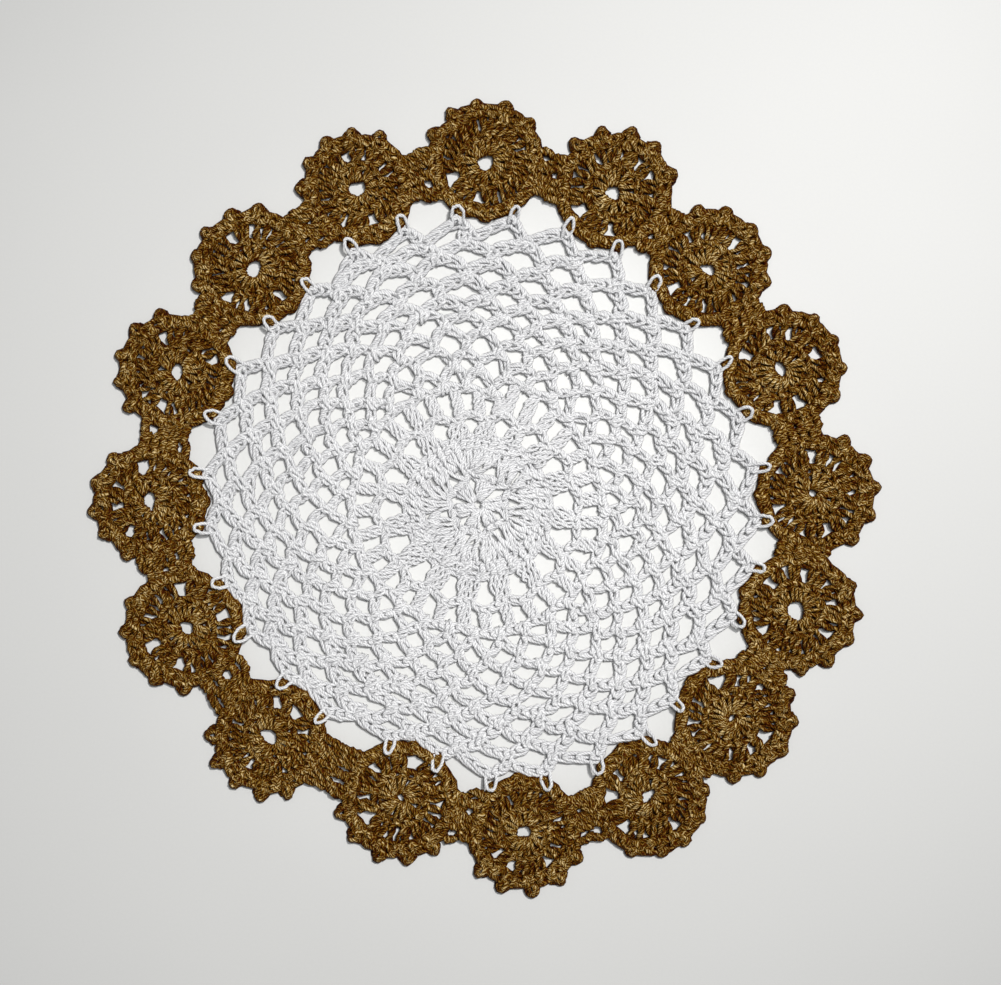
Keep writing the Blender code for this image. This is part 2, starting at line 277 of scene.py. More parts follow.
def chain(track, links, form, seed, closed=False):
    # a crocheted chain: along = t + reach cos 2 pi t, aside = half sin 2 pi t (1 + lean cos 2 pi t)
    # and height = middle - lift cos 2 pi t, with t in links and sizes a little off from link to link
    chance = np.random.default_rng(seed)
    t = np.arange(links * form["stations"]) / form["stations"]
    marks = np.arange(links + 2)

    def off(amount):
        values = 1.0 + either(chance, amount, links + 2)
        values[-2:] = values[:2]
        return np.interp(t, marks, values)

    wave = tau * t
    along = t + form["reach"] * off(linkForm["reachOff"]) * np.cos(wave)
    wide = form["half"] * off(linkForm["halfOff"]) * np.sin(wave) * (1.0 + linkForm["lean"] * np.cos(wave))
    height = form["middle"] - form["lift"] * off(linkForm["liftOff"]) * np.cos(wave)
    height = height + linkForm["heightOff"] * (off(1.0) - 1.0)
    path = raised(track(along) + leftOf(track, along) * wide[:, None], height)
    strand = tubes(path[None], form["thick"], closed=closed, seed=seed)

    # the strand behind: low along the middle, swinging the other way
    t = np.arange(links * linkForm["backStations"]) / linkForm["backStations"]
    swing = form["back"] * np.sin(tau * t + linkForm["backPhase"])
    rise = form["backRise"] + linkForm["backWave"] * np.cos(tau * t + linkForm["backWavePhase"])
    core = raised(track(t) + leftOf(track, t) * swing[:, None], rise)
    return [strand, tubes(core[None], form["thick"], closed=closed, seed=seed + linkForm["backSeed"])]


def wraps(foot, head, aside, form, seed):
    # a strand taken right round the line from foot to head: along = sign c |c|^bend / 2 with
    # c = cos f, height = middle + rise sin f, all of it set aside to one side
    line = head - foot
    side = unit(quarterTurn(line))
    wave = np.arange(form["stations"]) * tau / form["stations"]
    c = np.cos(wave)
    along = 0.5 * np.sign(c) * np.abs(c) ** form["bend"]
    spot = ((foot + head) / 2)[:, None] + line[:, None] * along[None, :, None]
    lean = aside[:, None] + form["lean"] * np.sin(wave + form["leanPhase"])[None]
    spot = spot + side[:, None] * lean[..., None]
    paths = raised(spot, form["middle"] + form["rise"] * np.sin(wave))
    return tubes(paths, form["thick"], closed=True, reference=raised(side, 0.0)[:, None], seed=seed)


def ropes(foot, head, form, seed):
    # strands laid round the line from foot to head: aside = wide cos f and height = middle +
    # high sin f, with f = 2 pi (turns t + k / strands), both ends dipping under
    chance = np.random.default_rng(seed)
    t = np.linspace(0.0, 1.0, form["stations"])
    line = head - foot
    side = unit(quarterTurn(line))
    phase = either(chance, handWork["phaseOff"], len(foot)) + form["phase"]
    bow = either(chance, form["bow"], len(foot))
    turns = form["turns"] * chance.uniform(*handWork["twists"], len(foot))[:, None]
    paths = []
    for k in range(form["strands"]):
        f = tau * (turns * t[None] + k / form["strands"]) + phase[:, None]
        aside = form["wide"] * np.cos(f) + bow[:, None] * np.sin(math.pi * t)[None]
        height = form["middle"] + form["high"] * np.sin(f) - form["dip"] * np.abs(2 * t - 1)[None] ** 3
        spot = foot[:, None] + line[:, None] * t[None, :, None] + side[:, None] * aside[..., None]
        paths.append(raised(spot, height))
    return tubes(np.concatenate(paths), form["thick"], seed=seed)


def makePiece(name, parts, yarn, nodes):
    # the tubes of one piece, pressed flat where they meet the table, as a mesh in metres with the
    # length and the turn of the thread as UV
    points = np.concatenate([part["points"] for part in parts])
    points[:, 2] = np.maximum(points[:, 2], tableGap)
    starts = np.cumsum([0] + [len(part["points"]) for part in parts[:-1]])
    faces, caps = (np.concatenate([part[key] + start for part, start in zip(parts, starts)])
                   for key in ("faces", "caps"))
    uv = np.concatenate([part[key].reshape(-1, 2) for key in ("uv", "capUv") for part in parts])
    corners = np.concatenate([faces.ravel(), caps.ravel()])
    sizes = np.concatenate([np.full(len(faces), 4), np.full(len(caps), caps.shape[1])])
    mesh = bpy.data.meshes.new(name)
    mesh.vertices.add(len(points))
    mesh.vertices.foreach_set("co", ((points + netMiddle) * metres).astype(np.float32).ravel())
    mesh.loops.add(len(corners))
    mesh.loops.foreach_set("vertex_index", corners.astype(np.int32))
    mesh.polygons.add(len(sizes))
    mesh.polygons.foreach_set("loop_start", (np.cumsum(sizes) - sizes).astype(np.int32))
    mesh.polygons.foreach_set("loop_total", sizes.astype(np.int32))
    layer = mesh.uv_layers.new(name="thread")
    layer.data.foreach_set("uv", uv.astype(np.float32).ravel())
    mesh.update(calc_edges=True)
    mesh.polygons.foreach_set("use_smooth", np.ones(len(sizes), bool))
    mesh.materials.append(yarn["material"])
    piece = bpy.data.objects.new(name, mesh)
    bpy.context.scene.collection.objects.link(piece)
    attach(piece, "root")
    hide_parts(*nodes)
    print(f"{name}: {int((sizes - 2).sum())} triangles")
    return piece


class Wire:
    # a shader socket, or a bare tree, whose sums and products add Math nodes
    def __init__(self, tree, socket=None):
        self.tree, self.socket = tree, socket

    def node(self, kind, settings=None, values=None, output=0):
        made = self.tree.nodes.new(kind)
        for key, value in (settings or {}).items():
            if key == "stops":
                ramp = made.color_ramp
                while len(ramp.elements) < len(value):
                    ramp.elements.new(0.5)
                for element, (position, color) in zip(ramp.elements, value):
                    element.position, element.color = position, (*color, 1.0)
            else:
                setattr(made, key, value)
        for key, value in (values or {}).items():
            if isinstance(value, Wire):
                self.tree.links.new(value.socket, made.inputs[key])
            else:
                made.inputs[key].default_value = value
        return Wire(self.tree, made.outputs[output])

    def feed(self, shader, name):
        self.tree.links.new(self.socket, shader.inputs[name])

    def part(self, axis):
        split = self.node("ShaderNodeSeparateXYZ", {}, {0: self})
        return Wire(self.tree, split.socket.node.outputs[axis])

    def math(self, operation, *values):
        return self.node("ShaderNodeMath", {"operation": operation}, dict(enumerate(values)))

    def __add__(self, other):
        return self.math("ADD", self, other)

    __radd__ = __add__

    def __mul__(self, other):
        return self.math("MULTIPLY", self, other)

    __rmul__ = __mul__

    def __sub__(self, other):
        return self.math("SUBTRACT", self, other)

    def __rsub__(self, other):
        return self.math("SUBTRACT", other, self)

    def __truediv__(self, other):
        return self.math("DIVIDE", self, other)

    def __pow__(self, other):
        return self.math("POWER", self, other)

    def clamped(self):
        return self.node("ShaderNodeClamp", {}, {0: self})


def newMaterial(name):
    material = bpy.data.materials.new(name)
    material.use_nodes = True
    return material, Wire(material.node_tree), material.node_tree.nodes["Principled BSDF"]


def vector(wire, *values):
    return wire.node("ShaderNodeCombineXYZ", {}, dict(enumerate(values)))


def noise(wire, where, scale, detail):
    return wire.node("ShaderNodeTexNoise", {}, {"Vector": where, "Scale": scale, "Detail": detail})


# How the plies wander and the fibres run in both threads
spunForm = {
    "wanderAlong": 0.45, "wanderRound": 0.7, "fibreAlong": 1.1, "fibreRound": 3.0, "fibreAcross": 5.0,
    "fibreOver": 2.0, "fibreDetail": 3.0, "broadDetail": 2.0, "roughTone": 0.2, "sheenRough": 0.5,
}


def threadMaterial(look):
    # spun thread: plies wind round it, so their phase is fract(plies (v + u / pitch)) and their
    # height sqrt(1 - x^2) with x the distance from a ply's middle; fine fibres run along them
    material, wire, shader = newMaterial(look["name"])
    along = wire.node("ShaderNodeUVMap", {"uv_map": "thread"})
    u, v = along.part("X"), along.part("Y")
    wander = vector(wire, u * spunForm["wanderAlong"], v * spunForm["wanderRound"])
    wander = noise(wire, wander, 1.0, 1.0)
    phase = wire.math("FRACT", (v + u / look["pitch"] + wander * look["wander"]) * look["plies"])
    x = wire.math("ABSOLUTE", phase - 0.5) * 2.0
    ply = (1.0 - x * x).clamped() ** 0.5
    # painted highlight and shade: each ply's crest is coloured lighter and the crevice between plies darker
    crest = 1.0 - x ** look["crest"]

    place = wire.node("ShaderNodeTexCoord", {}, {}, output="Object")
    streaks = vector(wire, u * spunForm["fibreAlong"] + v * spunForm["fibreRound"],
                     phase * spunForm["fibreAcross"], v * spunForm["fibreOver"])
    fibre = noise(wire, streaks, look["fibre"], spunForm["fibreDetail"]) - 0.5
    patch = noise(wire, vector(wire, u / look["patch"], v), 1.0, 1.0) - 0.5
    broad = noise(wire, place, look["broad"], spunForm["broadDetail"]) - 0.5

    # painted shade: the yarn is coloured darker lower down, where shade falls under and between strands and
    # near the table
    depth = (place.part("Z") / metres - look["low"]) / (look["high"] - look["low"])
    depth = 1.0 - depth.clamped()
    tone = crest * look["paintedPlyLight"] - depth * look["paintedLowShade"] + fibre * look["fibreTone"]
    tone = tone + patch * look["patchTone"] + broad * look["broadTone"] + look["base"]
    color = wire.node("ShaderNodeValToRGB", {"stops": look["stops"]}, {0: tone.clamped()})
    color.feed(shader, "Base Color")
    rough = (look["rough"] + fibre * spunForm["roughTone"]).clamped()
    rough.feed(shader, "Roughness")
    height = ply + fibre * look["fibreHeight"]
    bump = wire.node("ShaderNodeBump", {}, {"Height": height, "Strength": look["bump"],
                                            "Distance": look["depth"] * metres})
    bump.feed(shader, "Normal")
    shader.inputs["Specular IOR Level"].default_value = look["shine"]
    shader.inputs["Sheen Weight"].default_value = look["sheen"]
    shader.inputs["Sheen Roughness"].default_value = spunForm["sheenRough"]
    return material


print("materials")
# Lengths are in millimetres, low and high are the heights over which the painted shade lower down on the
# yarn fades as it rises, and each Tone is how much that pattern moves the place on the row of colours
whiteLook = {
    "name": "whiteCotton", "plies": 3, "pitch": 3.9, "fibre": 3.0, "patch": 9.0, "broad": 40.0,
    "base": 0.24, "crest": 1.2, "paintedPlyLight": 0.66, "fibreTone": 1.0, "patchTone": 0.3, "broadTone": 0.2,
    # white stops: the thread's own whites, with grey towards the dark end for painted shade
    "stops": [(0.0, (0.34, 0.34, 0.355)), (0.3, (0.65, 0.65, 0.668)), (0.65, (0.81, 0.81, 0.82)),
              (1.0, (0.98, 0.98, 0.98))],
    "wander": 0.6, "low": 0.5, "high": 2.6, "paintedLowShade": 0.2,
    "rough": 0.8, "fibreHeight": 0.7, "bump": 0.9, "depth": 0.25, "shine": 0.2, "sheen": 0.1,
}
brownLook = {
    "name": "goldenBrownYarn", "plies": 3, "pitch": 3.6, "fibre": 3.4, "patch": 2.4, "broad": 60.0,
    "base": 0.308, "crest": 0.8, "paintedPlyLight": 0.64, "fibreTone": 1.55, "patchTone": 0.9, "broadTone": 0.2,
    # brown stops: the yarn's own golden browns; the dark end is partly its own dark fibres and partly
    # painted shade, the pale top is painted highlight
    "stops": [(0.0, (0.012, 0.0004, 0.0)), (0.35, (0.082, 0.013, 0.0)), (0.6, (0.195, 0.090, 0.002)),
              (0.82, (0.38, 0.235, 0.045)), (1.0, (0.95, 0.74, 0.40))],
    "wander": 1.2, "low": 1.1, "high": 3.6, "paintedLowShade": 0.5,
    "rough": 0.6, "fibreHeight": 0.6, "bump": 1.0, "depth": 0.35, "shine": 0.05, "sheen": 0.0,
}
whiteThread["material"] = threadMaterial(whiteLook)
brownYarn["material"] = threadMaterial(brownLook)


# The net's spiral. Opening n stands at spiralPlaces[n] on round spiralLevels[n], where 3.4 is on
# the way from round 3 to round 4, and an arc of chain goes over it from knot n - 1 to knot n.
def slipped(evenly, fallen, turn):
    # the place of an opening once the climb has made it fall back, found by iteration
    place = evenly
    for _ in range(30):
        place = evenly + netForm["slip"] * (climb(place - turn) - fallen)
    return place


def spiralOpenings():
    # the first openings stand on the climb to the first round, then two to a wheel on every round
    places, levels = [], []
    begin, pitch = netForm["climbEnd"], netForm["pitch"]
    for step in reversed(range(netForm["firstOpenings"])):
        place = slipped(begin - netForm["firstGap"] - pitch * step, 1.0, 0.0)
        places.append(place - wheelCount)
        levels.append(float(climb(place)) - 1.0)
    for index, row in enumerate(rounds[:-1]):
        last = begin + wheelCount + netForm["lapMargin"]
        if index == len(rounds) - 2:
            last = netForm["lastPlace"]
        for step in range(2 * wheelCount):
            place = slipped(begin + (row["start"] or pitch) + pitch * step, 0.0, wheelCount)
            if place < last:
                places.append(place + wheelCount * (index - 1))
                levels.append(index + float(climb(place - wheelCount)))
    return np.array(places), np.array(levels)


spiralPlaces, spiralLevels = spiralOpenings()
levelMarks = np.arange(-1, len(rounds))
knotPlaces = (spiralPlaces[1:] + spiralPlaces[:-1]) / 2
knotLevels = (spiralLevels[1:] + spiralLevels[:-1]) / 2
onClusters = knotPlaces < netForm["clusterEnd"]
arcLevels = spiralLevels[1:-1]
netChance = np.random.default_rng(11)


def byLevel(key, level, under):
    # a round's size at a level between two rounds; under is the size one round further in
    return np.interp(level, levelMarks, [under] + [row[key] for row in rounds])


def outward(place, radius, step):
    # the radius that lies step millimetres further out on the stretched net
    reach = np.linalg.norm(netPoint(place, radius + 1.0) - netPoint(place, radius), axis=-1)
    return radius + step / reach


# The arcs of chain, and how far they dip to the knots between them
arcForm = {
    "innermost": 40.8, "edgeLevel": 7.97, "firstLinks": 3, "dipRise": 2.7, "dips": (0.9, 1.15),
    "firstDip": 0.5, "leastDip": 0.3, "sideOff": 0.75, "crestOff": 0.8, "flank": 1.9,
}
knotSide = either(netChance, arcForm["sideOff"], (len(knotPlaces), 2))
knotCrest = byLevel("crest", knotLevels, arcForm["innermost"])
crestBelow = byLevel("crest", knotLevels - 1.0, arcForm["innermost"])
knotDip = outward(knotPlaces, crestBelow,
                  arcForm["dipRise"] * netChance.uniform(*arcForm["dips"], len(knotPlaces)))
knotDip = np.where(onClusters, knotCrest - arcForm["firstDip"], knotDip)
knotDip = np.minimum(knotDip, knotCrest - arcForm["leastDip"])
arcCrest = byLevel("crest", arcLevels, arcForm["innermost"])
arcCrest = arcCrest + either(netChance, arcForm["crestOff"], len(arcLevels))
arcLinks = np.round(byLevel("links", arcLevels, arcForm["firstLinks"])).astype(int)
linkMarks = np.concatenate([[0], np.cumsum(arcLinks)])


def spiralTrack(link):
    # the chain's middle line, going from the knot's dip over the opening's crest to the next dip:
    # radius = dip + (crest - dip) (1 - |2 s - 1|^flank) with s the share of the arc
    spot = np.interp(link, linkMarks, np.arange(len(linkMarks)))
    index = np.clip(np.floor(spot).astype(int), 0, len(arcLinks) - 1)
    share = spot - index
    low = knotDip[index] + (knotDip[index + 1] - knotDip[index]) * share
    radius = low + (arcCrest[index] - low) * (1.0 - np.abs(2.0 * share - 1.0) ** arcForm["flank"])
    place = knotPlaces[index] + (knotPlaces[index + 1] - knotPlaces[index]) * share
    aside = knotSide[index] + (knotSide[index + 1] - knotSide[index]) * share[..., None]
    return uneven(netPoint(place, radius) + aside, **netWander)


chainForm = {"stations": 14, "reach": 0.95, "half": 1.5, "middle": 1.55, "lift": 0.75,
             "back": 0.35, "backRise": 1.15, "thick": whiteThread["thick"]}
innerForm = dict(chainForm, half=1.3, thick=1.46)
outerForm = dict(chainForm, half=1.8, thick=1.6)

print("net: spiral chain")
totalLinks = int(linkMarks[np.searchsorted(arcLevels, arcForm["edgeLevel"])])
halfLinks = int(linkMarks[np.searchsorted(linkMarks, totalLinks * 0.5)])
innerChain = chain(spiralTrack, halfLinks, innerForm, seed=21)
outerChain = chain(lambda link: spiralTrack(link + halfLinks), totalLinks - halfLinks, outerForm, seed=22)

knotForm = {"stations": 8, "strands": 4, "turns": 0.5, "phase": 0.35, "wide": 1.4, "high": 0.7,
            "dip": 1.2, "bow": 0.6, "middle": 2.0, "foot": -1.3, "head": 3.9, "tilt": 1.3,
            "leans": (0.2, 1.5), "wideLevels": (0.0, 3.0, 7.0), "wideShares": (0.8, 1.1, 1.5),
            "thick": whiteThread["thick"] * 0.95}


def knots():
    # strands twisted over and under the crest of the chain below, leaning the way the work runs
    use = ~onClusters
    place, level, crest = knotPlaces[use], knotLevels[use], crestBelow[use]
    perPlace = tau * crest / wheelCount
    lean = knotForm["tilt"] * netChance.uniform(*knotForm["leans"], len(place)) / perPlace
    foot = netPoint(place - lean / 2, outward(place, crest, knotForm["foot"]))
    head = netPoint(place + lean / 2, outward(place, crest, knotForm["head"]))
    foot, head = (uneven(spots + knotSide[use], **netWander) for spots in (foot, head))
    wide = np.interp(level, knotForm["wideLevels"], knotForm["wideShares"])[:, None] * knotForm["wide"]
    return [ropes(foot, head, dict(knotForm, wide=wide), seed=31)]


print("net: knots")
knotParts = knots()

# The flower in the middle: petals, a ring with six gaps, fans from the gaps, short stitches, then
# clusters between sixteen openings. Turns are in degrees.
flowerForm = {
    "gapTurns": (29.0, 104.6, 168.0, 225.7, 280.0, 331.2), "gapDepths": (3.5, 3.5, 2.2, 2.6, 2.6, 2.2),
    "gapReach": 9.5, "ring": 9.9, "ringLinks": 18, "petalFoot": 1.2, "petalHead": 9.0,
    "petalFeet": (0.3, 0.5, 0.7), "petalHeads": (0.26, 0.5, 0.74), "fan": 7, "fanFoot": 0.5,
    "fanFootTurn": 13.0, "fanHead": 20.0, "fanHeadShare": 0.98, "fanLean": 2.0,
    "squeeze": 0.09, "squeezeRadius": 26.0,
}
shortForm = {"layers": 2, "layerDrop": 0.6, "turnOff": 0.2, "leanOff": 4.0, "footOff": 0.6, "headOff": 0.5,
             "linksPerStitch": 0.7, "chainInset": 0.3, "layerSeed": 10}
shortColumns = ("count", "inner", "outer", "tilt", "seed")
shortRows = ((32, 15.2, 22.8, 4.5, 45), (36, 21.5, 27.0, -3.5, 47))
shortRounds = [dict(zip(shortColumns, row)) for row in shortRows]
clusterForm = {
    "place": 0.55, "steps": (-1.0, -0.35, 0.35, 1.0), "foot": 26.7, "footWide": 0.33, "footSag": 0.55,
    "head": 37.4, "headWide": 0.13, "headInset": 1.0, "bow": 1.3, "bowPlace": 0.05, "links": 5,
}
barForm = {"foot": 0.2, "footWide": 0.07, "headInset": 0.4, "headWide": 0.035, "headLean": 0.03}

ropeForm = {"strands": 2, "stations": 9, "turns": 0.5, "phase": 0.4, "wide": 0.72, "high": 0.42,
            "middle": 1.65, "dip": 0.5, "bow": 0.3, "thick": whiteThread["thick"] * 0.88}
petalRope = dict(ropeForm, strands=3, wide=0.85, bow=0.5)
fanRope = dict(ropeForm, bow=0.9, turns=0.6, wide=0.55, middle=1.95, thick=1.25)
shortRope = dict(ropeForm, turns=0.9, bow=0.9, thick=1.5)
clusterRope = dict(ropeForm, wide=0.85, turns=1.3, bow=0.6, stations=11)
barRope = dict(ropeForm, strands=3, wide=1.05, turns=1.2, bow=0.5, stations=11)
ringChain = dict(chainForm, middle=1.0, half=1.1, thick=1.35)
shortChain = dict(chainForm, middle=0.95, half=1.1, thick=1.35, lift=0.45, backRise=0.75)
clusterChain = dict(chainForm, half=1.15, thick=1.35)


def flowerPoint(radius, degrees):
    # round the flower's own middle, following the net's drift further out
    place = (np.asarray(degrees) - netForm["innerTurn"]) / 360.0 * wheelCount
    return uneven(netPoint(place, np.asarray(radius) + np.zeros_like(place)), **flowerWander)


def ringRadius(degrees):
    # the flower's inner ring, standing further out over each gap as a bell curve
    radius = flowerForm["ring"] + np.zeros_like(np.asarray(degrees, dtype=float))
    for gap, depth in zip(flowerForm["gapTurns"], flowerForm["gapDepths"]):
        off = (degrees - gap + 180.0) % 360.0 - 180.0
        radius = radius + depth * np.exp(-(off / flowerForm["gapReach"]) ** 2)
    return radius


def squeezed(degrees):
    # share by which the short stitches are pressed together under the start of the spiral
    return flowerForm["squeeze"] * sagShare(degrees / 360.0 * wheelCount)


def clusterRing(place):
    # the chain over the sixteen openings, bowed out between the clusters as a cosine
    wave = np.cos(tau * (place - clusterForm["bowPlace"]))
    return clusterForm["head"] + clusterForm["bow"] * wave - sag(place)


def flower():
    # the petals between the gaps, the ring round them and the fans of tall stitches from the gaps
    gaps = np.array(flowerForm["gapTurns"])
    gapAfter = np.append(gaps[1:], gaps[0] + 360.0)
    before = np.append(gaps[-1:] - 360.0, gaps[:-1])
    feet, heads = (np.concatenate([a + (b - a) * np.array(flowerForm[key]) for a, b in zip(gaps, gapAfter)])
                   for key in ("petalFeet", "petalHeads"))
    parts = [ropes(flowerPoint(flowerForm["petalFoot"], feet), flowerPoint(flowerForm["petalHead"], heads),
                   petalRope, seed=41)]
    perLink = 360.0 / flowerForm["ringLinks"]
    parts += chain(lambda link: flowerPoint(ringRadius(link * perLink), link * perLink),
                   flowerForm["ringLinks"], ringChain, seed=42, closed=True)
    fan = np.linspace(-1.0, 1.0, flowerForm["fan"])
    low, high = (gaps + before) / 2, (gaps + gapAfter) / 2
    foot = (gaps[:, None] + fan * flowerForm["fanFootTurn"]).ravel()
    middle, reach = (low + high)[:, None] / 2, (high - low)[:, None] / 2
    head = (middle + reach * fan * flowerForm["fanHeadShare"]).ravel()
    head = head + either(netChance, flowerForm["fanLean"], len(head))
    parts.append(ropes(flowerPoint(ringRadius(foot) + flowerForm["fanFoot"], foot),
                       flowerPoint(flowerForm["fanHead"], head), fanRope, seed=43))
    return parts


def shortStitches(row):
    # one round of short slanting stitches, an upper layer over a lower one, and its chain
    count, seed = row["count"], row["seed"]
    parts = []
    for layer in range(shortForm["layers"]):
        turn = np.arange(count) + layer / shortForm["layers"]
        turn = (turn + either(netChance, shortForm["turnOff"], count)) * 360.0 / count
        lean = row["tilt"] + either(netChance, shortForm["leanOff"], count)
        squeeze = 1.0 - squeezed(turn) * (row["inner"] / flowerForm["squeezeRadius"])
        foot = row["inner"] * squeeze + either(netChance, shortForm["footOff"], count)
        head = row["outer"] * squeeze + either(netChance, shortForm["headOff"], count)
        form = dict(shortRope, middle=ropeForm["middle"] - shortForm["layerDrop"] * layer)
        parts.append(ropes(flowerPoint(foot, turn), flowerPoint(head, turn + lean), form,
                           seed=seed + shortForm["layerSeed"] * layer))
    links = int(count * shortForm["linksPerStitch"])

    def track(link):
        turn = link * 360.0 / links
        return flowerPoint(row["outer"] * (1.0 - squeezed(turn)) - shortForm["chainInset"], turn)

    return parts + chain(track, links, shortChain, seed=seed + 1, closed=True)


def clusters():
    # sixteen clusters of stitches that draw together outward, and the chain over their heads
    places = np.arange(wheelCount) + clusterForm["place"]
    parts = []
    for step in clusterForm["steps"]:
        low = clusterForm["foot"] - sag(places) * clusterForm["footSag"]
        high = clusterForm["head"] - clusterForm["headInset"] - sag(places)
        foot = uneven(netPoint(places + step * clusterForm["footWide"], low), **flowerWander)
        head = uneven(netPoint(places + step * clusterForm["headWide"], high), **flowerWander)
        parts.append(ropes(foot, head, clusterRope, seed=51 + int(step * 3)))

    def track(link):
        place = link / clusterForm["links"]
        return uneven(netPoint(place, clusterRing(place)), **flowerWander)

    return parts + chain(track, clusterForm["links"] * wheelCount, clusterChain, seed=57, closed=True)


def clusterBars():
    # bars between the first small openings: pairs of ropes laid together, fanning a little
    place, head = knotPlaces[onClusters], knotCrest[onClusters] - barForm["headInset"]
    foot = clusterRing(place) + barForm["foot"]
    parts = []
    for step in (-1, 1):
        below = uneven(netPoint(place + step * barForm["footWide"], foot), **flowerWander)
        lean = barForm["headLean"] + step * barForm["headWide"]
        above = uneven(netPoint(place + lean, head), **netWander)
        parts.append(ropes(below, above, barRope, seed=61 + step))
    return parts


print("net: flower")
flowerParts = flower()
for row in shortRounds:
    flowerParts += shortStitches(row)
flowerParts += clusters() + clusterBars()

edgeForm = {"apex": 0.3, "valley": 97.0, "links": 6}
edgeChain = dict(chainForm, middle=1.75, half=1.6)
loopForm = {
    "spread": 5.6, "half": (2.0, 3.1), "base": 0.2, "reach": (5.2, 7.4), "slant": 1.2, "stations": 17,
    "tuck": 0.3, "narrow": 0.7, "widen": 0.35, "low": 1.8, "rise": 2.7, "bend": 0.6, "tilt": 0.3,
    "thick": 1.35,
}


def edgePoint(place):
    # the last round: straight legs between the knots of the net and the joining loops, with
    # share = arccos(cos 4 pi place) / pi of the way out
    share = np.arccos(np.cos(2.0 * tau * place)) / math.pi
    outer = uneven(polar(rimRadius(place) + edgeForm["apex"], wheelTurn(place)), **rimWander)
    inner = uneven(netPoint(place, np.full_like(place, edgeForm["valley"])), **netWander)
    return inner + (outer - inner) * share[..., None]


def edge():
    # the chain of the last round, with the same number of links on each leg
    links = edgeForm["links"] * 2 * wheelCount
    perLink = wheelCount / links
    return chain(lambda link: edgePoint(link * perLink), links, edgeChain, seed=71, closed=True)


def joiningLoops():
    # single strands pulled over the wheels: along = length sin f, aside = half cos f, lying
    # low at the net and high over the wheel
    turn = np.array([wheel["angle"] + side * loopForm["spread"] for wheel in wheels for side in (-1, 1)])
    half = netChance.uniform(*loopForm["half"], len(turn))[:, None]
    length = netChance.uniform(*loopForm["reach"], len(turn))[:, None]
    slant = either(netChance, loopForm["slant"], len(turn))[:, None]
    base = rimRadius(np.interp(turn, lapAngles, lapPlaces))[:, None] + loopForm["base"]
    f = np.linspace(-loopForm["tuck"], math.pi + loopForm["tuck"], loopForm["stations"])[None]
    out = np.maximum(np.sin(f), -loopForm["tuck"])
    high = np.maximum(out, 0.0)
    aside = half * np.cos(f) * (loopForm["narrow"] + loopForm["widen"] * high) + slant * high
    height = loopForm["low"] + loopForm["rise"] * high ** loopForm["bend"] + loopForm["tilt"] * np.cos(f)
    paths = raised(turned(base + length * out, aside, turn), height)
    return [tubes(paths, loopForm["thick"], seed=81)]


print("net: edge and loops")
edgeParts = edge() + joiningLoops()

netParts = {"netChainInner": innerChain, "netChainOuter": outerChain, "netKnots": knotParts,
            "netFlower": flowerParts, "netEdge": edgeParts}
netPieces = [makePiece(name, parts, whiteThread, ["net"]) for name, parts in netParts.items()]


# A wheel: strands round the hub, pairs with slits between them, close stitches, knobs and necks.
# Its radii hold for a wheel whose valleys lie at evenValley. Turns are in degrees, stray is a share
# of the way to the next stitch, and a size named Off is drawn between minus and plus its value.
wheelForm = {
    "evenValley": 22.6, "innerValley": 21.2, "rimInset": 2.0, "leastHub": {"hubLong": 2.2, "hubShort": 2.0},
    "wander": {"size": 9.0, "amount": 0.45},
}
spokeForm = {"count": 24, "stray": 0.15, "foot": 0.45, "head": 8.6, "headOff": 0.5, "turnOff": 4.0,
             "asideOff": 0.15, "chain": 9.3, "links": 12}
pairForm = {
    "count": 13, "stray": 0.13, "open": 8, "openLean": 0.9, "slant": 9.0, "footTurn": 6.2, "footLean": 0.6,
    "headTurns": (5.4, 7.0), "head": 17.1, "rise": 0.2, "fillFoot": 0.5, "fillOff": 3.0,
    "links": 20, "chain": 0.9, "chainWave": 0.35, "wavePace": 1.7,
}
closeForm = {"count": 36, "stray": 0.3, "foot": 0.4, "head": 0.2, "turnOff": 10.0, "asideOff": 0.3,
             "links": 26}
knobForm = {
    "outer": 5, "inner": 3, "pitch": 27.7, "turnOff": 2.0, "tipDrop": 0.8, "innerTip": 1.6, "foot": 0.2,
    "stations": 12, "wides": (0.85, 1.2), "narrow": 0.2, "twist": 0.45, "twistPhase": 0.5, "tilt": 0.25,
}
knobColumns = ("aside", "height", "inset")
knobRows = ((1.0, 2.5, 0.5), (1.9, 1.7, 0.0), (2.7, 1.0, 0.8))
knobLayers = [dict(zip(knobColumns, row)) for row in knobRows]
neckForm = {"rows": 7, "step": 2.8, "rowOff": 0.5, "inset": 2.6, "heads": (0.3, 1.3), "gather": 0.95,
            "headOff": 0.7}

brownChain = {"stations": 13, "reach": 0.95, "half": 1.25, "middle": 1.8, "lift": 0.95,
              "back": 0.5, "backRise": 1.3, "thick": brownYarn["thick"]}
hubChain = dict(brownChain, middle=1.85, half=1.4)
slitChain = dict(brownChain, half=1.05)
rimChain = dict(brownChain, half=1.45)
brownWrap = {"stations": 12, "middle": 1.9, "rise": 1.0, "lean": 0.35, "leanPhase": 0.6, "bend": 0.65,
             "thick": brownYarn["thick"]}
hubWrap = dict(brownWrap, thick=1.62)
brownRope = {"strands": 2, "stations": 8, "turns": 0.75, "phase": 0.4, "wide": 0.88, "high": 0.85,
             "middle": 1.9, "dip": 0.4, "bow": 0.5, "thick": brownYarn["thick"]}
fillRope = dict(brownRope, middle=1.6)
neckRope = dict(brownRope, strands=3, wide=1.1, turns=1.1, high=0.9, bow=1.8)


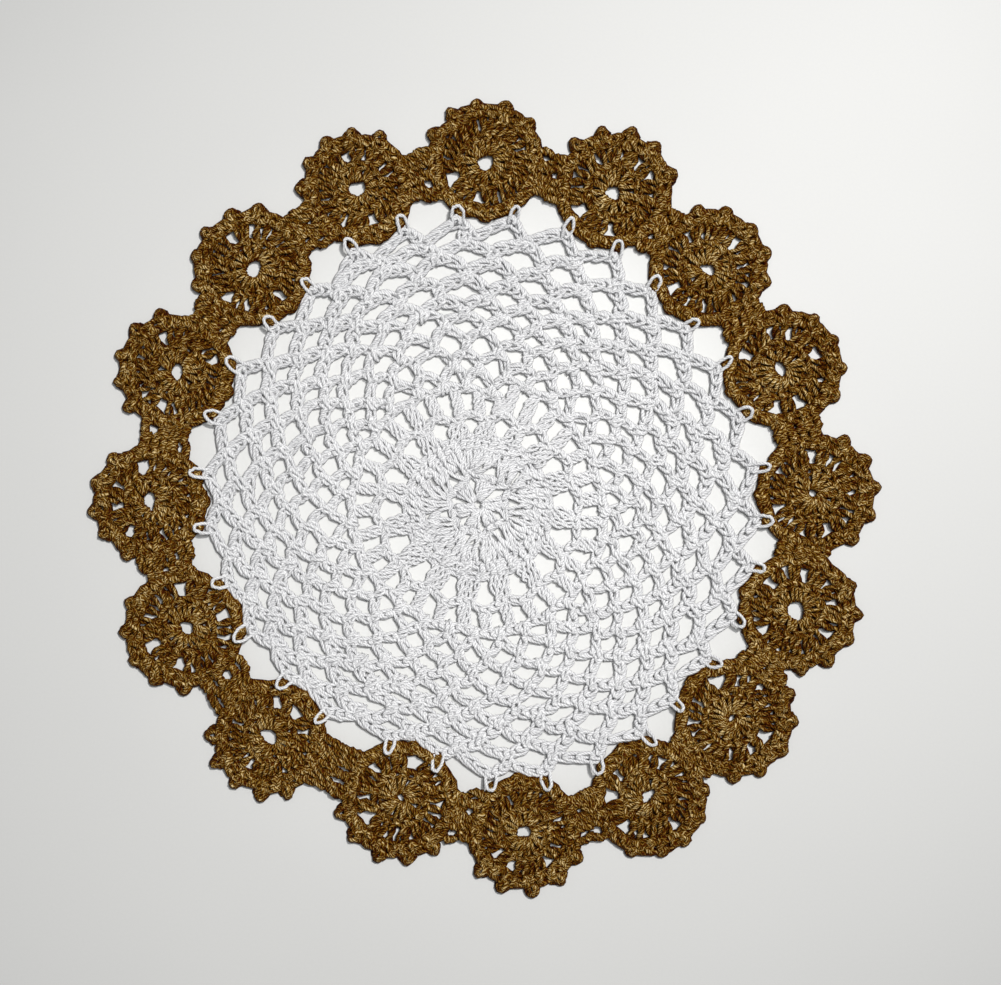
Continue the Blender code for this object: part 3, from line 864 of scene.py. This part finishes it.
def startWheel(index):
    # what all parts of one wheel share, with luck the source of its small differences
    wheel = wheels[index]
    luck = np.random.default_rng(100 + index)
    return {"index": index, "wheel": wheel, "luck": luck, "size": wheel["valley"] / wheelForm["evenValley"],
            "middle": polar(wheel["reach"], wheel["angle"]), "spread": luck.uniform(0, 360)}


def wheelSpot(work, radius, degrees):
    # a point round the wheel's middle, moved by the wheel's own wander
    spots = work["middle"] + polar(radius, degrees)
    return uneven(spots, seed=200 + work["index"], **wheelForm["wander"])


def hubRadius(wheel, degrees):
    # the hub's edge, an ellipse: 1 / sqrt((cos / a)^2 + (sin / b)^2)
    turn = np.radians(degrees - wheel["hubTurn"])
    a, b = (max(wheel[key], least) / 2 for key, least in wheelForm["leastHub"].items())
    return 1.0 / np.sqrt((np.cos(turn) / a) ** 2 + (np.sin(turn) / b) ** 2)


def wheelRim(wheel, degrees):
    # radius of the last round's chain: lower towards the net
    inward = (1.0 - np.cos(np.radians(degrees - wheel["angle"]))) / 2.0
    return wheel["valley"] + (wheelForm["innerValley"] - wheel["valley"]) * inward - wheelForm["rimInset"]


def stitchTurns(work, form):
    # the directions of a round's stitches, evenly spaced but for a small stray
    stray = either(work["luck"], form["stray"], form["count"])
    return (np.arange(form["count"]) + stray) * 360.0 / form["count"] + work["spread"]


def wheelChain(work, links, radius, form, seed):
    # a closed chain round the wheel, at a radius that depends on the link and its direction
    def track(link):
        turn = link * 360.0 / links + work["spread"]
        return wheelSpot(work, radius(link, turn), turn)
    return chain(track, links, form, seed, closed=True)


def hubStrands(work):
    # strands from the hub's edge to the first chain, and that chain
    luck, size, index, turns = work["luck"], work["size"], work["index"], stitchTurns(work, spokeForm)
    count = spokeForm["count"]
    foot = wheelSpot(work, hubRadius(work["wheel"], turns) + brownYarn["thick"] * spokeForm["foot"], turns)
    reach = spokeForm["head"] * size + either(luck, spokeForm["headOff"], count)
    head = wheelSpot(work, reach, turns + either(luck, spokeForm["turnOff"], count))
    aside = either(luck, spokeForm["asideOff"], count)
    return [wraps(foot, head, aside, hubWrap, seed=300 + index)] + wheelChain(
        work, spokeForm["links"], lambda link, turn: spokeForm["chain"] * size, hubChain, seed=320 + index)


def slitPairs(work):
    # second round: pairs of ropes, with some of the gaps left open by chance and the others filled
    luck, size, index, turns = work["luck"], work["size"], work["index"], stitchTurns(work, pairForm)
    low, high = spokeForm["chain"] * size, pairForm["head"] * size
    filled = luck.permutation(len(turns))[pairForm["open"]:]
    leaning = np.full(len(turns), pairForm["openLean"])
    leaning[filled] = 0.0
    slant = either(luck, pairForm["slant"], len(turns))
    parts = []
    for side, away in ((-1, np.roll(leaning, 1)), (1, leaning)):
        foot = turns + side * (pairForm["footTurn"] - pairForm["footLean"] * away)
        head = turns + slant + side * (luck.uniform(*pairForm["headTurns"], len(turns)) - away)
        foot = wheelSpot(work, low + pairForm["rise"], foot)
        head = wheelSpot(work, high + pairForm["rise"], head)
        parts.append(ropes(foot, head, brownRope, seed=340 + index * 2 + side))
    gaps = ((turns + np.append(turns[1:], turns[0] + 360.0)) / 2)[filled]
    foot = wheelSpot(work, low + pairForm["fillFoot"], gaps)
    head = wheelSpot(work, high + pairForm["rise"], gaps + either(luck, pairForm["fillOff"], len(gaps)))
    parts.append(ropes(foot, head, fillRope, seed=360 + index))

    def radius(link, turn):
        return high + pairForm["chain"] + pairForm["chainWave"] * np.sin(link * pairForm["wavePace"])

    return parts + wheelChain(work, pairForm["links"], radius, slitChain, seed=380 + index)


def closeRound(work):
    # third round: close stitches out to the rim, and the rim's chain
    wheel, luck, index, turns = work["wheel"], work["luck"], work["index"], stitchTurns(work, closeForm)
    count = closeForm["count"]
    foot = wheelSpot(work, pairForm["head"] * work["size"] + closeForm["foot"], turns)
    head = wheelSpot(work, wheelRim(wheel, turns) + closeForm["head"],
                     turns + either(luck, closeForm["turnOff"], count))
    aside = either(luck, closeForm["asideOff"], count)
    return [wraps(foot, head, aside, brownWrap, seed=400 + index)] + wheelChain(
        work, closeForm["links"], lambda link, turn: wheelRim(wheel, turn), rimChain, seed=420 + index)


def knobs(work):
    # five knobs outward and three towards the net, each of three rings of strand over each other:
    # out = middle + reach cos f, aside = wide sin f (1 - narrow cos f), tilted and twisted a little
    wheel, luck = work["wheel"], work["luck"]
    outer, inner = knobForm["outer"], knobForm["inner"]
    outerTurns = wheel["angle"] + wheel["turn"] + knobForm["pitch"] * (np.arange(outer) - outer // 2)
    innerTurns = wheel["angle"] + 180.0 + knobForm["pitch"] * (np.arange(inner) - inner // 2)
    turns = np.concatenate([outerTurns + either(luck, knobForm["turnOff"], outer), innerTurns])
    tips = np.concatenate([wheel["tip"] - luck.uniform(0.0, knobForm["tipDrop"], outer),
                           np.full(inner, wheelForm["innerValley"] + knobForm["innerTip"])])
    f = (np.arange(knobForm["stations"]) * tau / knobForm["stations"])[None]
    parts = []
    for layer, ring in enumerate(knobLayers):
        low = (wheelRim(wheel, turns) + knobForm["foot"])[:, None]
        high = (tips - brownYarn["thick"] / 2 - ring["inset"])[:, None]
        out = (low + high) / 2 + (high - low) / 2 * np.cos(f)
        wide = ring["aside"] * luck.uniform(*knobForm["wides"], len(turns))[:, None]
        aside = wide * np.sin(f) * (1 - knobForm["narrow"] * np.cos(f))
        twist = knobForm["twist"] * np.sin(f + knobForm["twistPhase"])
        height = ring["height"] + twist - knobForm["tilt"] * np.cos(f)
        paths = raised(work["middle"] + turned(out, aside, turns), height)
        parts.append(tubes(paths, brownYarn["thick"], closed=True, seed=440 + work["index"] + layer))
    return parts


def necks(work):
    # rows of rope from the rim to the middle line between the wheel and either neighbour
    wheel, luck, index, middle = work["wheel"], work["luck"], work["index"], work["middle"]
    rows = (np.arange(neckForm["rows"]) - (neckForm["rows"] - 1) / 2) * neckForm["step"]
    parts = []
    for step in (-1, 1):
        other = wheels[(index + step) % wheelCount]
        away = polar(other["reach"], other["angle"]) - middle
        ahead = away / np.hypot(*away)
        across = rows + either(luck, neckForm["rowOff"], len(rows))
        start = np.sqrt(np.maximum((wheel["valley"] - neckForm["inset"]) ** 2 - across ** 2, 1.0))
        end = np.hypot(*away) / 2 + luck.uniform(*neckForm["heads"], len(rows))
        beside = across * neckForm["gather"] + either(luck, neckForm["headOff"], len(rows))
        foot = middle + start[:, None] * ahead + across[:, None] * quarterTurn(ahead)
        head = middle + end[:, None] * ahead + beside[:, None] * quarterTurn(ahead)
        parts.append(ropes(foot, head, neckRope, seed=460 + 2 * index + (step > 0)))
    return parts


print("wheels")
for index in range(wheelCount):
    work = startWheel(index)
    number = f"{index + 1:02d}"
    hub = makePiece(f"wheelMiddle{number}", hubStrands(work), brownYarn, [f"wheel_{number}"])
    rimParts = slitPairs(work) + closeRound(work) + knobs(work) + necks(work)
    rim = makePiece(f"wheelRound{number}", rimParts, brownYarn, [f"wheel_{number}"])

print("table, light and camera")
tableForm = {
    "half": 2.0, "cloud": 6.0, "speck": 900.0, "cloudTone": 0.6, "speckTone": 0.4, "detail": 2.0,
    "dark": (0.67, 0.67, 0.658, 1), "light": (0.725, 0.725, 0.71, 1), "rough": 0.42, "roughTone": 0.1,
}


def floorPiece():
    # a level square, its corners at plus and minus half its width
    half = tableForm["half"]
    mesh = bpy.data.meshes.new("tableTop")
    corners = [(-half, -half, 0), (half, -half, 0), (half, half, 0), (-half, half, 0)]
    mesh.from_pydata(corners, [], [(0, 1, 2, 3)])
    material, wire, shader = newMaterial("paleTable")
    place = wire.node("ShaderNodeTexCoord", {}, {}, output="Object")
    cloud = noise(wire, place, tableForm["cloud"], tableForm["detail"])
    speck = noise(wire, place, tableForm["speck"], tableForm["detail"])
    tone = (cloud * tableForm["cloudTone"] + speck * tableForm["speckTone"]).clamped()
    color = wire.node("ShaderNodeMix", {"data_type": "RGBA"},
                      {0: tone, 6: tableForm["dark"], 7: tableForm["light"]}, output=2)
    color.feed(shader, "Base Color")
    (tableForm["rough"] + cloud * tableForm["roughTone"]).clamped().feed(shader, "Roughness")
    mesh.materials.append(material)
    piece = bpy.data.objects.new("tableTop", mesh)
    bpy.context.scene.collection.objects.link(piece)
    return piece


tableTop = floorPiece()

windowLight = {
    "name": "windowLight", "kind": "SPOT", "place": (0.93, 0.96, 2.49), "target": (0.004, 0.006, 0.0),
    "cone": 20.0, "blend": 1.0, "size": 0.11, "power": 256.0, "color": (1.0, 0.99, 0.97),
}
netLight = {
    "name": "netLight", "kind": "SPOT", "place": (0.15, 0.16, 1.2), "target": (0.0, -0.001, 0.0),
    "cone": 10.6, "blend": 0.3, "size": 0.06, "power": 11.0, "color": (1.0, 0.995, 0.985),
}
ceilingLight = {
    "name": "ceilingLight", "kind": "AREA", "place": (0.27, 0.235, 1.25), "target": (0.0, 0.0, 0.0),
    "size": 0.4, "power": 3.6, "color": (0.97, 0.98, 1.0),
}


def addLamp(form):
    # a lamp at its place, turned to look at its target; a spot's cone is in degrees
    lamp = bpy.data.lights.new(form["name"], form["kind"])
    lamp.energy, lamp.color = form["power"], form["color"]
    if form["kind"] == "SPOT":
        lamp.spot_size, lamp.spot_blend = math.radians(form["cone"]), form["blend"]
        lamp.shadow_soft_size = form["size"]
    else:
        lamp.shape, lamp.size = "DISK", form["size"]
    holder = bpy.data.objects.new(form["name"], lamp)
    holder.location = form["place"]
    away = Vector(form["target"]) - Vector(form["place"])
    holder.rotation_euler = away.to_track_quat("-Z", "Y").to_euler()
    bpy.context.scene.collection.objects.link(holder)


for lampForm in (windowLight, netLight, ceilingLight):
    addLamp(lampForm)

roomForm = {"color": (0.95, 0.97, 1.0, 1.0), "strength": 0.17}
world = bpy.data.worlds.new("roomLight")
world.use_nodes = True
background = world.node_tree.nodes["Background"]
background.inputs["Color"].default_value = roomForm["color"]
background.inputs["Strength"].default_value = roomForm["strength"]
bpy.context.scene.world = world
bpy.context.scene.view_settings.view_transform = "Standard"

# The camera looks straight down and takes in the width across, in metres, at the doily's level
viewForm = {"middle": (0.00607, 0.00173), "lens": 70.0, "sensor": 36.0, "across": 0.3774, "level": 0.002}
lens = bpy.data.cameras.new("camera")
lens.lens, lens.sensor_width = viewForm["lens"], viewForm["sensor"]
camera = bpy.data.objects.new("camera", lens)
height = viewForm["across"] / 2 / (viewForm["sensor"] / 2 / viewForm["lens"])
camera.location = (*viewForm["middle"], height + viewForm["level"])
bpy.context.scene.collection.objects.link(camera)
bpy.context.scene.camera = camera
